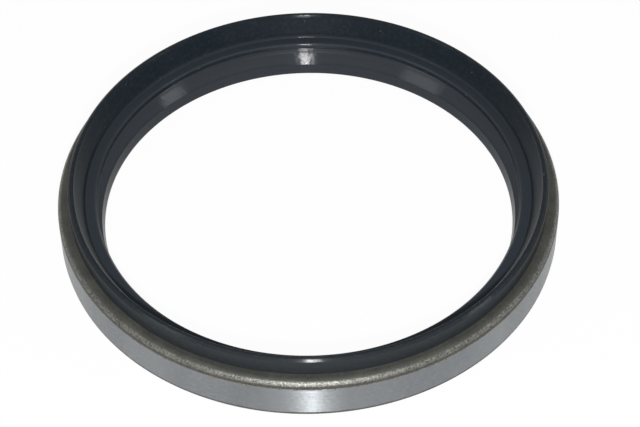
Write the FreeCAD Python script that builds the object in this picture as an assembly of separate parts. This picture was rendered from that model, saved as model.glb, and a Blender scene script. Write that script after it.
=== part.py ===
import FreeCAD, Part
import math
import os

# Radial shaft seal, metal cased, with one sprung sealing lip and one dust lip.
# Millimetres. +Z is the seal's axis and points to the air side, the side that shows.
# The origin is on the axis, in the plane of the case's lower edge, the oil side.

# Standard size that the seal is made for
HOUSING_D = 120.0
SHAFT_D = 100.0
CASE_HEIGHT = 11.0
OVERALL_HEIGHT = 15.6

# Steel case: one pressed ring of L-shaped section, its outside ground to size
SHEET = 1.3
CORNER_R = 1.9
LEAD_IN_HEIGHT = 0.9
LEAD_IN_DEPTH = 0.15
FLANGE_INNER_R = 54.9

# Rubber rim, a bead that stands proud of the case on the air side
BEAD_FOOT_R = 57.2
BEAD_FLANK_R = 57.15
BEAD_BEVEL_WIDTH = 0.75
BEAD_BEVEL_DROP = 0.7
BEAD_BACK_R = 55.72
BEAD_BACK_BEVEL = 0.3

# Dust lip, a short shelf inside the bead that just clears the shaft
DUST_LIP_CLEARANCE = 0.4
SHELF_Z = 10.0
SHELF_OUTER_R = 53.4
SHELF_INNER_R = 51.1
DUST_TIP_Z = 8.9
GROOVE_R = 53.4

# Sealing lip, smaller than the shaft by its interference
LIP_INTERFERENCE = 1.3
LIP_EDGE_Z = 1.0
CONTACT_BAND = 0.4
LIP_NECK_R = 49.85
LIP_NECK_Z = 3.8
CONE_SLOPE = math.radians(45)
NOSE_R = 50.45
NOSE_Z = 0.25
HEAD_OUTER_R = 52.3

# Flexing wall between the sealing lip and the case
WALL_ROOT_R = 56.6

# Garter spring in the groove at the back of the sealing lip
SPRING_COIL_D = 2.0
SPRING_R = 52.05
SPRING_Z = 2.6
SPRING_FLATS = 8
HEAD_ABOVE_SPRING = 1.7

LIP_R = (SHAFT_D - LIP_INTERFERENCE) / 2
DUST_LIP_R = SHAFT_D / 2 + DUST_LIP_CLEARANCE
CASE_R = HOUSING_D / 2
AXIS_POINT = FreeCAD.Vector(0, 0, 0)
AXIS = FreeCAD.Vector(0, 0, 1)


def turned(corners):
    """The ring that a closed section sweeps round the axis, its corners as (radius, height)."""
    points = [FreeCAD.Vector(radius, 0, height) for radius, height in corners + corners[:1]]
    return Part.Face(Part.makePolygon(points)).revolve(AXIS_POINT, AXIS, 360)


def steel_case():
    """Wall, lead-in chamfer and inward flange, all of one sheet bent round the corner."""
    inner_r = CASE_R - SHEET
    flange_z = CASE_HEIGHT - SHEET
    ring = turned([
        (inner_r, 0),
        (CASE_R - LEAD_IN_DEPTH, 0),
        (CASE_R, LEAD_IN_HEIGHT),
        (CASE_R, CASE_HEIGHT),
        (FLANGE_INNER_R, CASE_HEIGHT),
        (FLANGE_INNER_R, flange_z),
        (inner_r, flange_z),
    ])
    corner = FreeCAD.Vector(CASE_R, 0, CASE_HEIGHT)
    circles = [edge for edge in ring.Edges if edge.isClosed()]
    bend = min(circles, key=lambda circle: circle.Vertexes[0].Point.distanceToPoint(corner))
    return ring.makeFillet(CORNER_R, [bend])


def bead_corners():
    """Rim bead: steep flank, broad outer bevel, narrow crest and the slope down to the shelf."""
    return [
        (BEAD_FOOT_R, CASE_HEIGHT),
        (BEAD_FLANK_R, OVERALL_HEIGHT - BEAD_BEVEL_DROP),
        (BEAD_FLANK_R - BEAD_BEVEL_WIDTH, OVERALL_HEIGHT),
        (BEAD_BACK_R + BEAD_BACK_BEVEL, OVERALL_HEIGHT),
        (BEAD_BACK_R, OVERALL_HEIGHT - BEAD_BACK_BEVEL),
    ]


def dust_lip_corners():
    """Shelf, tip and the groove behind it, down to the air-side cone."""
    groove_z = LIP_NECK_Z + (GROOVE_R - LIP_NECK_R) * math.tan(CONE_SLOPE)
    return [
        (SHELF_OUTER_R, SHELF_Z),
        (SHELF_INNER_R, SHELF_Z),
        (DUST_LIP_R, DUST_TIP_Z),
        (GROOVE_R, groove_z),
    ]


def sealing_lip_corners():
    """Neck below the cone, contact band, oil-side face and the head's back."""
    return [
        (LIP_NECK_R, LIP_NECK_Z),
        (LIP_R, LIP_EDGE_Z + CONTACT_BAND),
        (LIP_R, LIP_EDGE_Z),
        (NOSE_R, NOSE_Z),
        (HEAD_OUTER_R, NOSE_Z),
        (HEAD_OUTER_R, SPRING_Z + HEAD_ABOVE_SPRING),
    ]


def wall_corners():
    """Flexing wall and the pocket that the flange is moulded into."""
    flange_z = CASE_HEIGHT - SHEET
    return [
        (WALL_ROOT_R, flange_z),
        (FLANGE_INNER_R, flange_z),
        (FLANGE_INNER_R, CASE_HEIGHT),
    ]


def garter_spring():
    """Ring of the coil's outer width, its round section drawn with flats."""
    corners = []
    for i in range(SPRING_FLATS):
        angle = (i + 0.5) * 2 * math.pi / SPRING_FLATS
        out = math.cos(angle) * SPRING_COIL_D / 2
        up = math.sin(angle) * SPRING_COIL_D / 2
        corners.append((SPRING_R + out, SPRING_Z + up))
    return turned(corners)


def rubber_lip_ring():
    """Rim bead, dust lip, sealing lip and wall, with the groove for the spring."""
    corners = bead_corners() + dust_lip_corners() + sealing_lip_corners() + wall_corners()
    return turned(corners).cut(garter_spring())


def main():
    os.makedirs("parts", exist_ok=True)
    pieces = {
        "steel_case": steel_case(),
        "rubber_lip_ring": rubber_lip_ring(),
        "garter_spring": garter_spring(),
    }
    for name, shape in pieces.items():
        shape.exportStep(f"parts/{name}.step")
        print(name, "valid", shape.isValid(), "solids", len(shape.Solids), "volume", round(shape.Volume, 1))


main()
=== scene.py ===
# %% [markdown]
# # A radial shaft seal
#
# A radial shaft seal keeps the oil in where a shaft leaves its housing. This one has three
# parts: a pressed steel case that is pushed into the housing, a rubber ring that is moulded
# onto the case and rubs on the shaft, and a small spring that keeps the rubber lip closed.
# The solids already exist as the frame. This lesson dresses them: it remakes each part as a
# finely rounded ring, gives it a finish, and lights it as a small object on a white table.

import math

import bmesh
import bpy
from mathutils import Matrix, Vector


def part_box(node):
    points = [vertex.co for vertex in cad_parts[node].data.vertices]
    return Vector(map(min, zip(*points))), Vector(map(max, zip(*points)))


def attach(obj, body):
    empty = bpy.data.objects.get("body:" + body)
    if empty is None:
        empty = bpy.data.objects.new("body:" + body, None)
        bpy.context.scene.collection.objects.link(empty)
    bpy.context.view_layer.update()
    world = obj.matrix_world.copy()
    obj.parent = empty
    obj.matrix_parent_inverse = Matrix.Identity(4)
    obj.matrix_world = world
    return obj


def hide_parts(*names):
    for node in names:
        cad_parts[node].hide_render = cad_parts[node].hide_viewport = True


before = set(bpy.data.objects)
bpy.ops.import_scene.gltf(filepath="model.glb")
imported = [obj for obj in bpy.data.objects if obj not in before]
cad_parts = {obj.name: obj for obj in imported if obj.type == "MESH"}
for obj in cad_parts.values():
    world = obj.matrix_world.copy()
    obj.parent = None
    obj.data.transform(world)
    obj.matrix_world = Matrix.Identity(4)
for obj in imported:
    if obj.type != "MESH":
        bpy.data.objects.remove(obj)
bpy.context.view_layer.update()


print("nodes:", sorted(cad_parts))

# %% [markdown]
# ## Sizes
#
# Blender works in metres and a seal is drawn in millimetres, so every size below is written
# in millimetres and multiplied once. The sizes that the frame already knows are read from it:
# the radius and height of the case, the height of the rubber, and where the spring lies.

# %% Sizes that the frame gives
MM = 0.001
case_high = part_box("steel_case")[1]
rubber_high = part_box("rubber_lip_ring")[1]
spring_low, spring_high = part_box("garter_spring")

CASE_R = case_high.x / MM
CASE_HEIGHT = case_high.z / MM
SEAL_HEIGHT = rubber_high.z / MM
SPRING_Z = (spring_low.z + spring_high.z) / 2 / MM
SPRING_R = spring_high.x / MM - (spring_high.z - spring_low.z) / 2 / MM
print("case", round(CASE_R, 3), "x", round(CASE_HEIGHT, 3), "mm")
print("rubber up to", round(SEAL_HEIGHT, 3), "mm")
print("spring circle", round(SPRING_R, 3), "at height", round(SPRING_Z, 3))

# %% [markdown]
# ## The camera
#
# The seal is seen from above at about 46 degrees, from half a metre away, with a long lens.
# The picture is 640 by 427 pixels. The centre of the rim does not sit in the middle of the
# picture, so the lens is shifted by that many pixels, and the camera leans by one degree.

# %% Camera at the photograph's angle
PICTURE_WIDTH, PICTURE_HEIGHT = 640, 427
RIM_CENTRE_PX = (307.9, 173.7)
SENSOR_WIDTH = 36.0
LENS = 119.4
NEAREST_SEEN = 10 * MM
ELEVATION = math.radians(46.37)
LEAN = math.radians(-1.08)
DISTANCE = 505.5 * MM
LOOK_AT = Vector((0, 0, 15.2 * MM))

camera_data = bpy.data.cameras.new("camera")
camera_data.lens = LENS
camera_data.sensor_width = SENSOR_WIDTH
camera_data.shift_x = (PICTURE_WIDTH / 2 - RIM_CENTRE_PX[0]) / PICTURE_WIDTH
camera_data.shift_y = (RIM_CENTRE_PX[1] - PICTURE_HEIGHT / 2) / PICTURE_WIDTH
camera_data.clip_start = NEAREST_SEEN
camera = bpy.data.objects.new("camera", camera_data)
bpy.context.scene.collection.objects.link(camera)
bpy.context.scene.camera = camera

to_camera = Vector((0, -math.cos(ELEVATION), math.sin(ELEVATION)))
camera.location = LOOK_AT + to_camera * DISTANCE
facing = (-to_camera).to_track_quat("-Z", "Y").to_matrix()
camera.rotation_euler = (facing @ Matrix.Rotation(LEAN, 3, "Z")).to_euler()
print("camera at", tuple(round(x / MM, 1) for x in camera.location), "mm")

# %% [markdown]
# ## Numbers that vary over a surface
#
# A finish is a small calculation that is done for each point of the surface: how far out it
# lies, how rough it is, which colour it has. Blender draws such sums as boxes and wires. Here
# they are written as ordinary Python: `Varying` stands for one wire, and adding or multiplying
# it makes the box that does so. `Finish` is one material and makes every other kind of box.


# %% Shader sums as Python
class Varying:
    """A number that varies over the surface: one output socket of a finish's nodes."""

    def __init__(self, finish, socket):
        self.finish = finish
        self.socket = socket

    def sum(self, operation, *values):
        """The result of one Math node, each value a number or a wire."""
        settings = {"operation": operation}
        return self.finish.node("ShaderNodeMath", settings, dict(enumerate(values)))

    def __add__(self, other):
        return self.sum("ADD", self, other)

    def __sub__(self, other):
        return self.sum("SUBTRACT", self, other)

    def __rsub__(self, other):
        return self.sum("SUBTRACT", other, self)

    def __mul__(self, other):
        return self.sum("MULTIPLY", self, other)

    __radd__ = __add__
    __rmul__ = __mul__

    def root(self):
        return self.sum("SQRT", self)

    def over(self, low, high):
        """0 below low, 1 above high, and smooth between them. High may be the smaller one."""
        settings = {"interpolation_type": "SMOOTHSTEP"}
        return self.finish.node("ShaderNodeMapRange", settings, {0: self, 1: low, 2: high})

    def band(self, start, full, fading, end):
        """0 outside start and end, 1 from full to fading, and smooth between them."""
        return self.over(start, full) * self.over(end, fading)


# %% [markdown]
# ## Materials as Python
#
# Every box of a material comes from one method, `node`, which takes its kind, its settings and
# what goes into its inputs. The other methods are the few boxes that a seal needs: where the
# point lies, noise, mixed colours, relief and shaders. The Mix node has inputs for numbers,
# vectors and colours one after the other, so its colour inputs are known by their numbers.

# %% Finishes
COLOUR_A, COLOUR_B, COLOUR_OUT = 6, 7, 2


class Finish:
    """One material, or the world. Its nodes all come from node()."""

    def __init__(self, name, kind=bpy.data.materials):
        self.owner = kind.new(name)
        self.owner.use_nodes = True
        self.tree = self.owner.node_tree
        self.tree.nodes.clear()

    def node(self, kind, settings=None, inputs=None, output=0):
        made = self.tree.nodes.new(kind)
        for name, value in (settings or {}).items():
            setattr(made, name, value)
        for name, value in (inputs or {}).items():
            if isinstance(value, Varying):
                self.tree.links.new(value.socket, made.inputs[name])
            else:
                made.inputs[name].default_value = value
        return Varying(self, made.outputs[output])

    def point(self):
        """The point's own place, which turns and moves with the object."""
        return self.node("ShaderNodeTexCoord", output="Object")

    def axes(self):
        """Distance from the seal's axis and height, both in millimetres."""
        split = {"Vector": self.point()}
        x, y, z = [self.node("ShaderNodeSeparateXYZ", None, split, axis) for axis in "XYZ"]
        return (x * x + y * y).root() * (1 / MM), z * (1 / MM)

    def noise(self, sizes, detail):
        """Cloudy noise whose blobs have these sizes in millimetres along X, Y and Z."""
        scale = [1 / (size * MM) for size in sizes]
        stretched = self.node("ShaderNodeMapping", {"vector_type": "POINT"},
                              {"Vector": self.point(), "Scale": scale})
        return self.node("ShaderNodeTexNoise", {"noise_dimensions": "3D"},
                         {"Vector": stretched, "Scale": 1.0, "Detail": detail})

    def mixed(self, factor, first, second):
        """Two colours, the second one where the factor is 1."""
        settings = {"data_type": "RGBA", "blend_type": "MIX"}
        colours = [(*c, 1.0) if isinstance(c, tuple) else c for c in (first, second)]
        inputs = {0: factor, COLOUR_A: colours[0], COLOUR_B: colours[1]}
        return self.node("ShaderNodeMix", settings, inputs, COLOUR_OUT)

    def bump(self, height, distance):
        """A relief that the light sees, its depth given in millimetres."""
        return self.node("ShaderNodeBump", None,
                         {"Height": height, "Distance": distance * MM, "Strength": 1.0})

    def shader(self, **inputs):
        """A Principled shader, its inputs named as on the node with _ for a space."""
        named = {name.replace("_", " "): value for name, value in inputs.items()}
        return self.node("ShaderNodeBsdfPrincipled", None, named, "BSDF")

    def blended(self, factor, first, second):
        """Two shaders, the second one where the factor is 1."""
        return self.node("ShaderNodeMixShader", None, {0: factor, 1: first, 2: second})

    def finished(self, shader, output="ShaderNodeOutputMaterial"):
        """What this finish belongs to, once the shader is wired to its output."""
        made = self.tree.nodes.new(output)
        self.tree.links.new(shader.socket, made.inputs["Surface"])
        return self.owner


print("ready to make finishes")

# %% [markdown]
# ## Objects from meshes
#
# A part is built as a mesh at its true place, so its object stays at the origin. Wide flat
# faces beside narrow rounded ones look dented when all normals are averaged alike. A Weighted
# Normal modifier lets the wide faces decide. Its result is kept in the mesh and the modifier
# is taken away, so that the mesh itself holds what is seen here.


# %% Helpers that make objects
def new_object(name, bm):
    """An object at the origin that holds this mesh, in the scene."""
    mesh = bpy.data.meshes.new(name)
    bm.to_mesh(mesh)
    bm.free()
    made = bpy.data.objects.new(name, mesh)
    bpy.context.scene.collection.objects.link(made)
    return made


def finished_piece(name, bm):
    """A piece of the seal, with its weighted normals in its mesh, that rides with the seal."""
    piece = new_object(name, bm)
    weighted = piece.modifiers.new("flat faces stay flat", "WEIGHTED_NORMAL")
    weighted.keep_sharp = True
    evaluated = piece.evaluated_get(bpy.context.evaluated_depsgraph_get())
    piece.data = bpy.data.meshes.new_from_object(evaluated)
    piece.modifiers.clear()
    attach(piece, "root")
    piece.data.calc_loop_triangles()
    print(name, "has", len(piece.data.loop_triangles), "triangles")
    return piece


print("ready to make objects")

# %% [markdown]
# ## Turned rings
#
# The case and the rubber are sections swept round one axis, so one helper makes them both. The
# section starts as a flat face with a few corners. Each corner that is round on the real part
# is bevelled with as many segments as it needs. Then the face goes, its outline is spun
# through a full turn, and the normals are set to point outwards. Sharp edges stay sharp.

# %% The helper that turns a section into a ring
STEPS_ROUND = 288
SEGMENT_ANGLE = math.radians(9)
SHARP_ANGLE = math.radians(35)
SAME_PLACE = 0.0005


def round_corner(bm, vert, rounding):
    """Make one corner of a flat section an arc of this radius in millimetres."""
    first, second = [edge.other_vert(vert).co - vert.co for edge in vert.link_edges]
    turn = math.pi - first.angle(second)
    bmesh.ops.bevel(bm, geom=[vert], affect="VERTICES", offset_type="OFFSET",
                    offset=rounding * MM * math.tan(turn / 2), profile=0.5, material=-1,
                    segments=max(2, math.ceil(turn / SEGMENT_ANGLE)))


def turned_ring(name, corners):
    """A ring from its section's corners, each (radius, height, rounding) in millimetres."""
    bm = bmesh.new()
    verts = [bm.verts.new((radius * MM, 0, height * MM)) for radius, height, _ in corners]
    bm.faces.new(verts)
    for vert, (_, _, rounding) in zip(verts, corners):
        if rounding:
            round_corner(bm, vert, rounding)
    bmesh.ops.delete(bm, geom=list(bm.faces), context="FACES_ONLY")
    bmesh.ops.spin(bm, geom=bm.verts[:] + bm.edges[:], cent=(0, 0, 0), axis=(0, 0, 1),
                   angle=2 * math.pi, steps=STEPS_ROUND, use_merge=True)
    bmesh.ops.remove_doubles(bm, verts=bm.verts[:], dist=SAME_PLACE * MM)
    bmesh.ops.recalc_face_normals(bm, faces=bm.faces[:])
    for face in bm.faces:
        face.smooth = True
    for edge in bm.edges:
        edge.smooth = edge.calc_face_angle(0) < SHARP_ANGLE
    return finished_piece(name, bm)


print("rings are turned in", STEPS_ROUND, "steps")

# %% [markdown]
# ## The steel case
#
# The case is a cup pressed from one sheet, with its middle punched out: a wall that grips the
# housing and a flange that carries the rubber. The bend between them is round outside and
# tighter inside. The foot of the wall has a small chamfer, so that the seal starts easily
# into its bore.

# %% The case as a ring
SHEET = 1.3
BEND_R = 1.9
CHAMFER_DEPTH, CHAMFER_HEIGHT, CHAMFER_ROUND = 0.15, 0.9, 0.4
FOOT_INSIDE_ROUND, FOOT_OUTSIDE_ROUND = 0.15, 0.06
FLANGE_R = 54.9

flange_z = CASE_HEIGHT - SHEET
steel_case = turned_ring("pressed_steel_case", [
    (CASE_R - SHEET, 0, FOOT_INSIDE_ROUND),
    (CASE_R - CHAMFER_DEPTH, 0, FOOT_OUTSIDE_ROUND),
    (CASE_R, CHAMFER_HEIGHT, CHAMFER_ROUND),
    (CASE_R, CASE_HEIGHT, BEND_R),
    (FLANGE_R, CASE_HEIGHT, 0),
    (FLANGE_R, flange_z, 0),
    (CASE_R - SHEET, flange_z, BEND_R - SHEET),
])
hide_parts("steel_case")

# %% [markdown]
# ## The rubber ring
#
# The rubber is one moulding with several jobs. A bead stands on the flange and makes the
# rim. Inside it a short shelf ends in the dust lip. Behind the dust lip a groove runs back,
# and from there a cone leads down to the sealing lip, whose edge touches the shaft. The back
# of the lip's head has a U-shaped seat for the spring, and a thin wall lets the lip flex.

# %% The rubber as a ring
BEAD_FOOT_R = 57.2
BEAD_FLANK_R, BEAD_FLANK_Z, BEAD_FLANK_ROUND = 57.2, 15.05, 0.25
BEAD_CREST_R, BEAD_CREST_ROUND = 56.55, 0.6
BEAD_BACK_R, BEAD_BACK_ROUND = 55.86, 0.4
SLOPE_R, SLOPE_Z, SLOPE_ROUND = 53.7, 11.2, 1.5
SHELF_Z = 10.0
SHELF_OUTER_R, SHELF_ROOT_ROUND = 53.4, 0.3
SHELF_INNER_R, SHELF_EDGE_ROUND = 51.1, 0.6
DUST_LIP_R, DUST_LIP_Z, DUST_LIP_ROUND = 50.4, 8.9, 0.2
GROOVE_R, GROOVE_Z, GROOVE_ROUND = 53.4, 7.35, 0.6
NECK_R, NECK_Z, NECK_ROUND = 49.85, 3.8, 0.4
LIP_R, LIP_Z, LIP_ROUND = 49.35, 1.2, 0.1
CONTACT_BAND = 0.4
NOSE_WIDTH, NOSE_ROUND = 1.1, 0.2
HEAD_R, HEAD_FOOT_Z, HEAD_FOOT_ROUND = 52.3, 0.25, 0.3
COIL_R = 1.0
SEAT_ROUND, SEAT_MOUTH_ROUND = 0.98 * COIL_R, 0.08
HEAD_ABOVE_SPRING, HEAD_TOP_ROUND = 1.7, 0.4
WALL_ROOT_R = 56.6

bead = [
    (BEAD_FOOT_R, CASE_HEIGHT, 0),
    (BEAD_FLANK_R, BEAD_FLANK_Z, BEAD_FLANK_ROUND),
    (BEAD_CREST_R, SEAL_HEIGHT, BEAD_CREST_ROUND),
    (BEAD_BACK_R, SEAL_HEIGHT, BEAD_BACK_ROUND),
    (SLOPE_R, SLOPE_Z, SLOPE_ROUND),
    (SHELF_OUTER_R, SHELF_Z, SHELF_ROOT_ROUND),
]
dust_lip = [
    (SHELF_INNER_R, SHELF_Z, SHELF_EDGE_ROUND),
    (DUST_LIP_R, DUST_LIP_Z, DUST_LIP_ROUND),
    (GROOVE_R, GROOVE_Z, GROOVE_ROUND),
]
sealing_lip = [
    (NECK_R, NECK_Z, NECK_ROUND),
    (LIP_R, LIP_Z + CONTACT_BAND, LIP_ROUND),
    (LIP_R, LIP_Z, 0),
    (LIP_R + NOSE_WIDTH, HEAD_FOOT_Z, NOSE_ROUND),
    (HEAD_R, HEAD_FOOT_Z, HEAD_FOOT_ROUND),
]
spring_seat = [
    (HEAD_R, SPRING_Z - COIL_R, SEAT_MOUTH_ROUND),
    (SPRING_R - COIL_R, SPRING_Z - COIL_R, SEAT_ROUND),
    (SPRING_R - COIL_R, SPRING_Z + COIL_R, SEAT_ROUND),
    (HEAD_R, SPRING_Z + COIL_R, SEAT_MOUTH_ROUND),
]
wall = [
    (HEAD_R, SPRING_Z + HEAD_ABOVE_SPRING, HEAD_TOP_ROUND),
    (WALL_ROOT_R, flange_z, 0),
    (FLANGE_R, flange_z, 0),
    (FLANGE_R, CASE_HEIGHT, 0),
]
rubber_section = bead + dust_lip + sealing_lip + spring_seat + wall
rubber_ring = turned_ring("moulded_rubber_ring", rubber_section)
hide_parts("rubber_lip_ring")

# %% [markdown]
# ## The garter spring
#
# The spring is a long coil of thin wire, wound tight and joined into a ring. A small hexagon
# is spun about a straight axis and pushed along it a little at each step, which winds a few
# turns. Each copy then doubles the length, until there are nearly nine hundred turns. Last,
# the coil is bent round the seal: the distance along it becomes an angle.

# %% The spring as a coil of wire
WIRE_R = 0.175
WIRE_SIDES = 6
STEPS_PER_TURN = 10
TURNS_WOUND = 7
DOUBLINGS = 7
JOINED_WITHIN = 0.01

turns = TURNS_WOUND * 2 ** DOUBLINGS
pitch = 2 * math.pi * SPRING_R * MM / turns
mean_r = (COIL_R - WIRE_R) * MM

bm = bmesh.new()
across_wire = Matrix.Translation((0, mean_r, 0))
bmesh.ops.create_circle(bm, segments=WIRE_SIDES, radius=WIRE_R * MM, matrix=across_wire)
bmesh.ops.spin(bm, geom=bm.verts[:] + bm.edges[:], cent=(0, 0, 0), axis=(1, 0, 0),
               angle=2 * math.pi * TURNS_WOUND, steps=TURNS_WOUND * STEPS_PER_TURN,
               dvec=(pitch / STEPS_PER_TURN, 0, 0))
length = TURNS_WOUND * pitch
for _ in range(DOUBLINGS):
    copied = bmesh.ops.duplicate(bm, geom=bm.verts[:] + bm.edges[:] + bm.faces[:])["geom"]
    moved = [part for part in copied if isinstance(part, bmesh.types.BMVert)]
    bmesh.ops.translate(bm, verts=moved, vec=(length, 0, 0))
    length *= 2
for vert in bm.verts:
    angle = vert.co.x / (SPRING_R * MM)
    radius = SPRING_R * MM + vert.co.y
    vert.co = (radius * math.cos(angle), radius * math.sin(angle), SPRING_Z * MM + vert.co.z)
bmesh.ops.remove_doubles(bm, verts=bm.verts[:], dist=JOINED_WITHIN * MM)
bmesh.ops.recalc_face_normals(bm, faces=bm.faces[:])
for face in bm.faces:
    face.smooth = True
garter_spring = finished_piece("garter_coil", bm)
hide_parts("garter_spring")
print("the spring has", turns, "turns")

# %% [markdown]
# ## The finish of the case
#
# Two finishes meet on the case. The wall is ground to size, so it is bright. The bend, the
# flange and the foot's chamfer keep the olive grey coat that makes rubber stick to steel. Two
# materials on two sets of faces would meet in a clean circle, but the real border is ragged.
# So there is one material, and the mask `ground` chooses between the two finishes by radius
# and height, with a little noise added to the height.
#
# A fade is written as two places: where it starts and where it is full. A band has four.

# %% Where the case is ground
WALL_FADE = (CASE_R - 0.3, CASE_R - 0.05)
GROUND_TOP_FADE = (9.1, 8.9)
GROUND_FOOT_FADE = (0.85, 1.0)
RAGGED_HEIGHT, RAGGED_SHIFT = 1.4, 0.45
RAGGED_AT_FOOT = 0.4

case_finish = Finish("case steel")
radius, height = case_finish.axes()
ragged = case_finish.noise((1.6, 1.6, 1.6), detail=4.0) * RAGGED_HEIGHT - RAGGED_SHIFT
on_wall = radius.over(*WALL_FADE)
ground_top = (height + ragged).over(*GROUND_TOP_FADE)
ground_foot = (height + ragged * RAGGED_AT_FOOT).over(*GROUND_FOOT_FADE)
ground = on_wall * ground_top * ground_foot
print("the wall is ground up to about", min(GROUND_TOP_FADE), "mm")

# %% [markdown]
# ## Ground steel
#
# Grinding leaves fine marks that run round the wall, too fine to model. What they do to the
# light is stretch each reflection up and down: that is the anisotropy, turned by a quarter.
# Noise that is long round the wall and short up it shows a few coarser marks, and a mottled
# roughness keeps the lamps' streak from being too even.

# %% Bright steel
QUARTER_TURN = 0.25
STEEL_DARK, STEEL_LIGHT = (0.245, 0.26, 0.272), (0.278, 0.291, 0.303)
MARK_COLOUR, MARK_SHARE = (0.34, 0.35, 0.355), 0.3
STEEL_ROUGHNESS, ROUGHER_IN_MARKS, ROUGHER_IN_MOTTLE = 0.175, 0.06, 0.2

marks = case_finish.noise((40.0, 40.0, 0.12), detail=2.0)
patches = case_finish.noise((7.0, 7.0, 30.0), detail=2.0)
mottle = case_finish.noise((1.0, 1.0, 0.6), detail=3.0)
steel = case_finish.mixed(patches.over(0.3, 0.7), STEEL_DARK, STEEL_LIGHT)
steel = case_finish.mixed(marks.over(0.3, 0.75) * MARK_SHARE, steel, MARK_COLOUR)
bright_steel = case_finish.shader(
    Base_Color=steel,
    Metallic=1.0,
    Roughness=marks * ROUGHER_IN_MARKS + mottle * ROUGHER_IN_MOTTLE + STEEL_ROUGHNESS,
    Anisotropic=1.0,
    Anisotropic_Rotation=QUARTER_TURN,
)
print("ground steel has a roughness of", STEEL_ROUGHNESS, "and more")

# %% [markdown]
# ## The bonding coat
#
# The coat is dull and stained. On the outer part of the bend the steel shows bare, its grain
# sparkles a little, and small pits stay dark. Just above the ground wall, where the lower bend
# turns away from the lamps, a band of painted shade is laid on: dark colour and less metal.
# All of it is one shader, whose colour is laid on in that order.

# %% Coat, bare bend and painted shade above the wall
COAT_DARK, COAT_LIGHT = (0.052, 0.054, 0.048), (0.072, 0.072, 0.062)
BARE_DARK, BARE_LIGHT = (0.178, 0.182, 0.166), (0.23, 0.23, 0.203)
SPARKLE_COLOUR, SPARKLE_SHARE = (0.4, 0.395, 0.355), 0.6
PIT_COLOUR, PIT_SHARE = (0.034, 0.034, 0.03), 0.65
# The next colour is painted shade, for the band where the lower bend meets the ground wall.
PAINTED_SHADE_COLOUR, PAINTED_SHADE_SHARE = (0.028, 0.022, 0.019), 0.85
WORN_RADIUS_FADE, WORN_HEIGHT_FADE = (58.9, 59.65), (8.0, 9.0)
LINE_BAND = (8.8, 9.1, 9.8, 10.2)
BARE_METALLIC, LESS_METAL_IN_SHADE = 0.85, 0.7
COAT_ROUGHNESS, SMOOTHER_IN_GRAIN = 0.58, 0.2
COAT_SHINE, COAT_RELIEF = 0.3, 0.05

stains = case_finish.noise((5.0, 5.0, 2.0), detail=5.0)
grain = case_finish.noise((0.45, 0.45, 0.45), detail=3.0)
worn = radius.over(*WORN_RADIUS_FADE) * height.over(*WORN_HEIGHT_FADE)
# Painted shade: a dark, less metallic band where the lower bend turns away from the lamps.
painted_shade_line = on_wall * height.band(*LINE_BAND)

coat = case_finish.mixed(stains.over(0.35, 0.68), COAT_DARK, COAT_LIGHT)
bare = case_finish.mixed(stains.over(0.3, 0.7), BARE_DARK, BARE_LIGHT)
coat = case_finish.mixed(worn, coat, bare)
coat = case_finish.mixed(grain.over(0.5, 0.7) * worn * SPARKLE_SHARE, coat, SPARKLE_COLOUR)
coat = case_finish.mixed(grain.over(0.47, 0.35) * PIT_SHARE, coat, PIT_COLOUR)
# The painted shade band darkens the coat just above the ground wall.
coat = case_finish.mixed(painted_shade_line * PAINTED_SHADE_SHARE, coat, PAINTED_SHADE_COLOUR)
dull_coat = case_finish.shader(
    Base_Color=coat,
    Metallic=worn * (BARE_METALLIC - painted_shade_line * LESS_METAL_IN_SHADE),
    Roughness=COAT_ROUGHNESS - grain * SMOOTHER_IN_GRAIN,
    Specular_IOR_Level=COAT_SHINE,
    Normal=case_finish.bump(grain, COAT_RELIEF),
)
case_look = case_finish.blended(ground, dull_coat, bright_steel)
steel_case.data.materials.append(case_finish.finished(case_look))
print("case finish has", len(case_finish.tree.nodes), "nodes")

# %% [markdown]
# ## The finish of the rubber
#
# Moulded rubber copies its mould. The crest of the bead, the root and the edge of the shelf
# and the lip's cone come out polished, the rest duller, and a mould line runs round the cone.
# A seal is the same all the way round, so each of these places is a fade or a band in height.
# The mask `polish` adds them up, each with its own share.

# %% Where the rubber is polished
CREST_FADE, CREST_POLISH = (14.9, 15.1), 0.9
ROOT_BAND, ROOT_POLISH = (10.02, 10.12, 10.6, 10.9), 0.6
EDGE_BAND, EDGE_POLISH = (9.6, 9.75, 9.96, 9.99), 0.6
CONE_FADE, CONE_POLISH = (7.7, 7.2), 0.6
LOWER_CONE_FADE, LOWER_CONE_POLISH = (6.1, 5.7), 0.4
MOULD_LINE_BAND = (5.85, 6.05, 6.15, 6.35)

rubber_finish = Finish("seal rubber")
radius, height = rubber_finish.axes()
on_crest = height.over(*CREST_FADE)
at_root = height.band(*ROOT_BAND)
at_edge = height.band(*EDGE_BAND)
on_cone = height.over(*CONE_FADE)
on_lower_cone = height.over(*LOWER_CONE_FADE) - height.band(*MOULD_LINE_BAND)
cone_polish = on_cone * CONE_POLISH + on_lower_cone * LOWER_CONE_POLISH
polish = cone_polish + at_edge * EDGE_POLISH + at_root * ROOT_POLISH + on_crest * CREST_POLISH
print("the crest is", CREST_POLISH, "polished, the lower cone", CONE_POLISH + LOWER_CONE_POLISH)

# %% [markdown]
# ## Film and dust
#
# Three sizes of noise cover the rubber: wide clouds and a fine film in its colour, and slow
# waves in its surface. A few pale specks of dust cling to it. Each cell of a Voronoi texture
# has one point and one random colour, so the distance gives a round speck, and the colour
# decides which few cells have one.

# %% Noise and specks
DUST_CELL = 1.6
DUST_SIZE_FADE, DUST_CHANCE_FADE = (0.12, 0.06), (0.84, 0.9)

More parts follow.
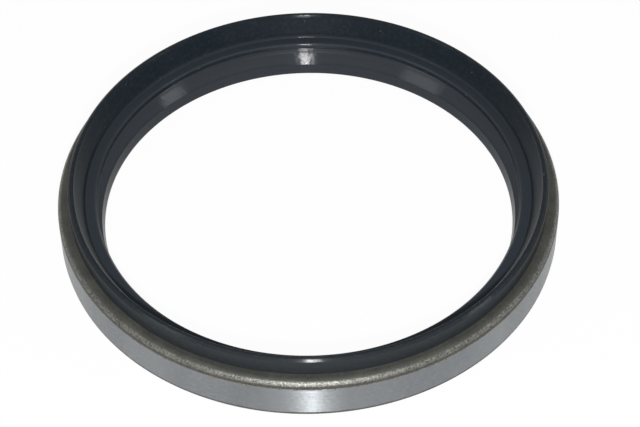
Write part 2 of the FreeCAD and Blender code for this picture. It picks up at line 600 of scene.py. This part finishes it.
cloud = rubber_finish.noise((16.0, 16.0, 8.0), detail=3.0)
film = rubber_finish.noise((0.8, 0.8, 0.8), detail=5.0)
waves = rubber_finish.noise((4.0, 4.0, 4.0), detail=2.0)
cell = {"Vector": rubber_finish.point(), "Scale": 1 / (DUST_CELL * MM)}
nearest = {"feature": "F1"}
speck_distance = rubber_finish.node("ShaderNodeTexVoronoi", nearest, cell, "Distance")
speck_colour = rubber_finish.node("ShaderNodeTexVoronoi", nearest, cell, "Color")
speck_chance = rubber_finish.node("ShaderNodeSeparateColor", None, {"Color": speck_colour}, "Red")
dust = speck_distance.over(*DUST_SIZE_FADE) * speck_chance.over(*DUST_CHANCE_FADE)
print("one speck of dust at most in each cell of", DUST_CELL, "mm")

# %% [markdown]
# ## The rubber's colour and shine
#
# The rubber is a blackish blue grey. Painted light makes it paler on the shelf, which faces
# up to the brighter room, and painted sheen makes it paler on the cone, the neck below it and
# the shelf's inner edge, where they reflect the table and the lamps. It is a little browner
# on the outer flank. One shader is dull and one is polished, and both have the same colour
# and the same waves, so only the gloss changes between them.

# %% Dull and polished rubber
BLACK_DARK, BLACK_LIGHT = (0.009, 0.0142, 0.019), (0.0116, 0.017, 0.022)
FILM_COLOUR, FILM_SHARE = (0.024, 0.031, 0.037), 0.4
DUST_COLOUR, DUST_SHARE = (0.2, 0.2, 0.19), 0.55
# The shelf's colour is painted light: it is paler for the light it catches from above.
SHELF_PAINTED_LIGHT_COLOUR, SHELF_SHARE = (0.031, 0.039, 0.048), 0.8
SHELF_BAND = (9.5, 9.8, 10.3, 11.0)
# A painted sheen colour for the cone, the neck and the shelf's inner edge, standing in for their
# reflections.
CONE_PAINTED_SHEEN_COLOUR, NECK_SHARE, ABOVE_NECK_SHARE, EDGE_SHARE = (0.039, 0.045, 0.053), 0.4, 0.5, 0.4
ABOVE_NECK_FADE = (3.4, 4.5)
FLANK_COLOUR, FLANK_SHARE = (0.038, 0.037, 0.036), 0.3
FLANK_FADE = (56.2, 56.8)
DULL_ROUGHNESS, DULL_SHINE = 0.31, 0.11
POLISHED_ROUGHNESS, POLISHED_SHINE = 0.155, 0.21
FILM_RELIEF, RUBBER_RELIEF = 0.08, 0.05

black = rubber_finish.mixed(cloud.over(0.3, 0.7), BLACK_DARK, BLACK_LIGHT)
black = rubber_finish.mixed(film.over(0.45, 0.7) * FILM_SHARE, black, FILM_COLOUR)
black = rubber_finish.mixed(dust * DUST_SHARE, black, DUST_COLOUR)
# Painted light: the up-facing shelf is made paler.
black = rubber_finish.mixed(height.band(*SHELF_BAND) * SHELF_SHARE, black, SHELF_PAINTED_LIGHT_COLOUR)
# Painted sheen: the cone, the neck and the shelf's inner edge are made paler.
cone_sheen_share = on_cone * (height.over(*ABOVE_NECK_FADE) * ABOVE_NECK_SHARE + NECK_SHARE)
grey = rubber_finish.mixed(cone_sheen_share + at_edge * EDGE_SHARE, black, CONE_PAINTED_SHEEN_COLOUR)
grey = rubber_finish.mixed(radius.over(*FLANK_FADE) * FLANK_SHARE, grey, FLANK_COLOUR)

relief = rubber_finish.bump(waves + film * FILM_RELIEF, RUBBER_RELIEF)
dull_rubber = rubber_finish.shader(
    Base_Color=grey,
    Roughness=film * 0.1 + dust * 0.3 + DULL_ROUGHNESS,
    Specular_IOR_Level=DULL_SHINE,
    Normal=relief,
)
polished_rubber = rubber_finish.shader(
    Base_Color=grey,
    Roughness=film * 0.04 + on_crest * 0.05 + POLISHED_ROUGHNESS,
    Specular_IOR_Level=POLISHED_SHINE,
    Anisotropic=1.0,
    Anisotropic_Rotation=QUARTER_TURN,
    Normal=relief,
)
rubber_look = rubber_finish.blended(polish, dull_rubber, polished_rubber)
rubber_ring.data.materials.append(rubber_finish.finished(rubber_look))
print("rubber finish has", len(rubber_finish.tree.nodes), "nodes")

# %% [markdown]
# ## The finish of the spring
#
# The spring is drawn steel wire under a film of oil: bright, a little brown, with streaks.

# %% Oiled spring wire
WIRE_DARK, WIRE_LIGHT = (0.32, 0.31, 0.29), (0.5, 0.49, 0.47)
WIRE_ROUGHNESS, ROUGHER_IN_STREAKS = 0.2, 0.2

wire_finish = Finish("spring wire")
streak = wire_finish.noise((0.6, 0.6, 0.2), detail=3.0)
wire = wire_finish.shader(
    Base_Color=wire_finish.mixed(streak.over(0.35, 0.7), WIRE_DARK, WIRE_LIGHT),
    Metallic=1.0,
    Roughness=streak * ROUGHER_IN_STREAKS + WIRE_ROUGHNESS,
)
garter_spring.data.materials.append(wire_finish.finished(wire))
print("spring finish has", len(wire_finish.tree.nodes), "nodes")

# %% [markdown]
# ## The table
#
# The seal lies on a white table. The table's colour is nearly white, and it is lifted to full
# white where the camera or a reflection looks at it, with enough left over for the seal's
# shadow.

# %% White table
TABLE_R = 700
TABLE_SIDES = 96
TABLE_GAP = 0.02
TABLE_GREY, WHITE = (0.86, 0.86, 0.86, 1), (1, 1, 1, 1)
WHITE_SHARE = 0.96

bm = bmesh.new()
bmesh.ops.create_circle(bm, segments=TABLE_SIDES, radius=TABLE_R * MM, cap_ends=True)
table = new_object("table", bm)
table.location.z = -TABLE_GAP * MM

table_finish = Finish("white table")
path = {name: table_finish.node("ShaderNodeLightPath", output=name)
        for name in ("Is Camera Ray", "Is Glossy Ray", "Is Transmission Ray")}
seen = path["Is Camera Ray"] + path["Is Glossy Ray"] + path["Is Transmission Ray"]
matt = table_finish.node("ShaderNodeBsdfDiffuse", None, {"Color": TABLE_GREY})
white = table_finish.node("ShaderNodeEmission", None, {"Color": WHITE, "Strength": 1.0})
table_look = table_finish.blended(seen * WHITE_SHARE, matt, white)
table.data.materials.append(table_finish.finished(table_look))
print("table is", round(2 * TABLE_R * MM, 2), "m across")

# %% [markdown]
# ## The room
#
# The room is dim, and what the black rubber and the ground wall show of it gives them their
# lighter and darker bands. It is a little brighter behind the seal than behind the camera, and
# darker at both sides.

# %% The room as the world's light
DIM, BRIGHT = 0.36, 0.46
TO_BACK_FADE = (-0.35, 0.6)
SIDES_DARKER = 0.6

room = Finish("room", bpy.data.worlds)
direction = {"Vector": room.node("ShaderNodeTexCoord", output="Generated")}
to_side, to_back = [room.node("ShaderNodeSeparateXYZ", None, direction, axis) for axis in "XY"]
from_front = DIM + to_back.over(*TO_BACK_FADE) * (BRIGHT - DIM)
level = from_front * (1 - to_side * to_side * SIDES_DARKER)
glow = room.node("ShaderNodeBackground", None, {"Color": WHITE, "Strength": level})
bpy.context.scene.world = room.finished(glow, "ShaderNodeOutputWorld")
print("room from", DIM, "in front to", BRIGHT, "behind")

# %% [markdown]
# ## Lamps
#
# Four lamps make the highlights. A small and strong one just below the camera draws the bright
# spots on the near and far sides and the streak down the ground wall. From there the streak
# can't be narrow, so a smaller lamp, low in front, adds its narrow core. It is so low that the
# near bead keeps its light off the slope at the back. Two large and weak ones, on the right
# and the left, draw the soft patches on the lip's cone. Their power is set from the brightness
# that their reflection should have, so that it stays right when a lamp's size is changed. Last,
# the Standard view shows each colour as it was worked out, so the table's white stays white.

# %% The lamps
LAMP_BELOW_CAMERA = 70
IN_FRONT = Vector((0, -600 * MM, 8 * MM))
SIDE_LAMP_DISTANCE = 600 * MM
TO_THE_RIGHT, TO_THE_LEFT = Vector((0.80, -0.20, 0.57)), Vector((-0.72, -0.33, 0.61))


def lamp(name, place, size, radiance):
    """A square lamp that faces the seal. Its size is its side in millimetres."""
    side = size * MM
    data = bpy.data.lights.new(name, "AREA")
    data.shape = "SQUARE"
    data.size = side
    data.energy = radiance * math.pi * side * side
    made = bpy.data.objects.new(name, data)
    made.location = place
    made.rotation_euler = (LOOK_AT - made.location).to_track_quat("-Z", "Y").to_euler()
    made.visible_camera = False
    bpy.context.scene.collection.objects.link(made)
    print(name, "has", round(data.energy, 2), "W")


camera_up = Vector((0, math.sin(ELEVATION), math.cos(ELEVATION)))
below_camera = camera.location - camera_up * LAMP_BELOW_CAMERA * MM
lamp("lamp at the camera", below_camera, size=30, radiance=770)
lamp("low lamp in front", IN_FRONT, size=12, radiance=1600)
on_the_right = LOOK_AT + TO_THE_RIGHT * SIDE_LAMP_DISTANCE
lamp("lamp on the right", on_the_right, size=110, radiance=7.5)
on_the_left = LOOK_AT + TO_THE_LEFT * SIDE_LAMP_DISTANCE
lamp("lamp on the left", on_the_left, size=170, radiance=3.7)

scene = bpy.context.scene
scene.view_settings.view_transform = "Standard"
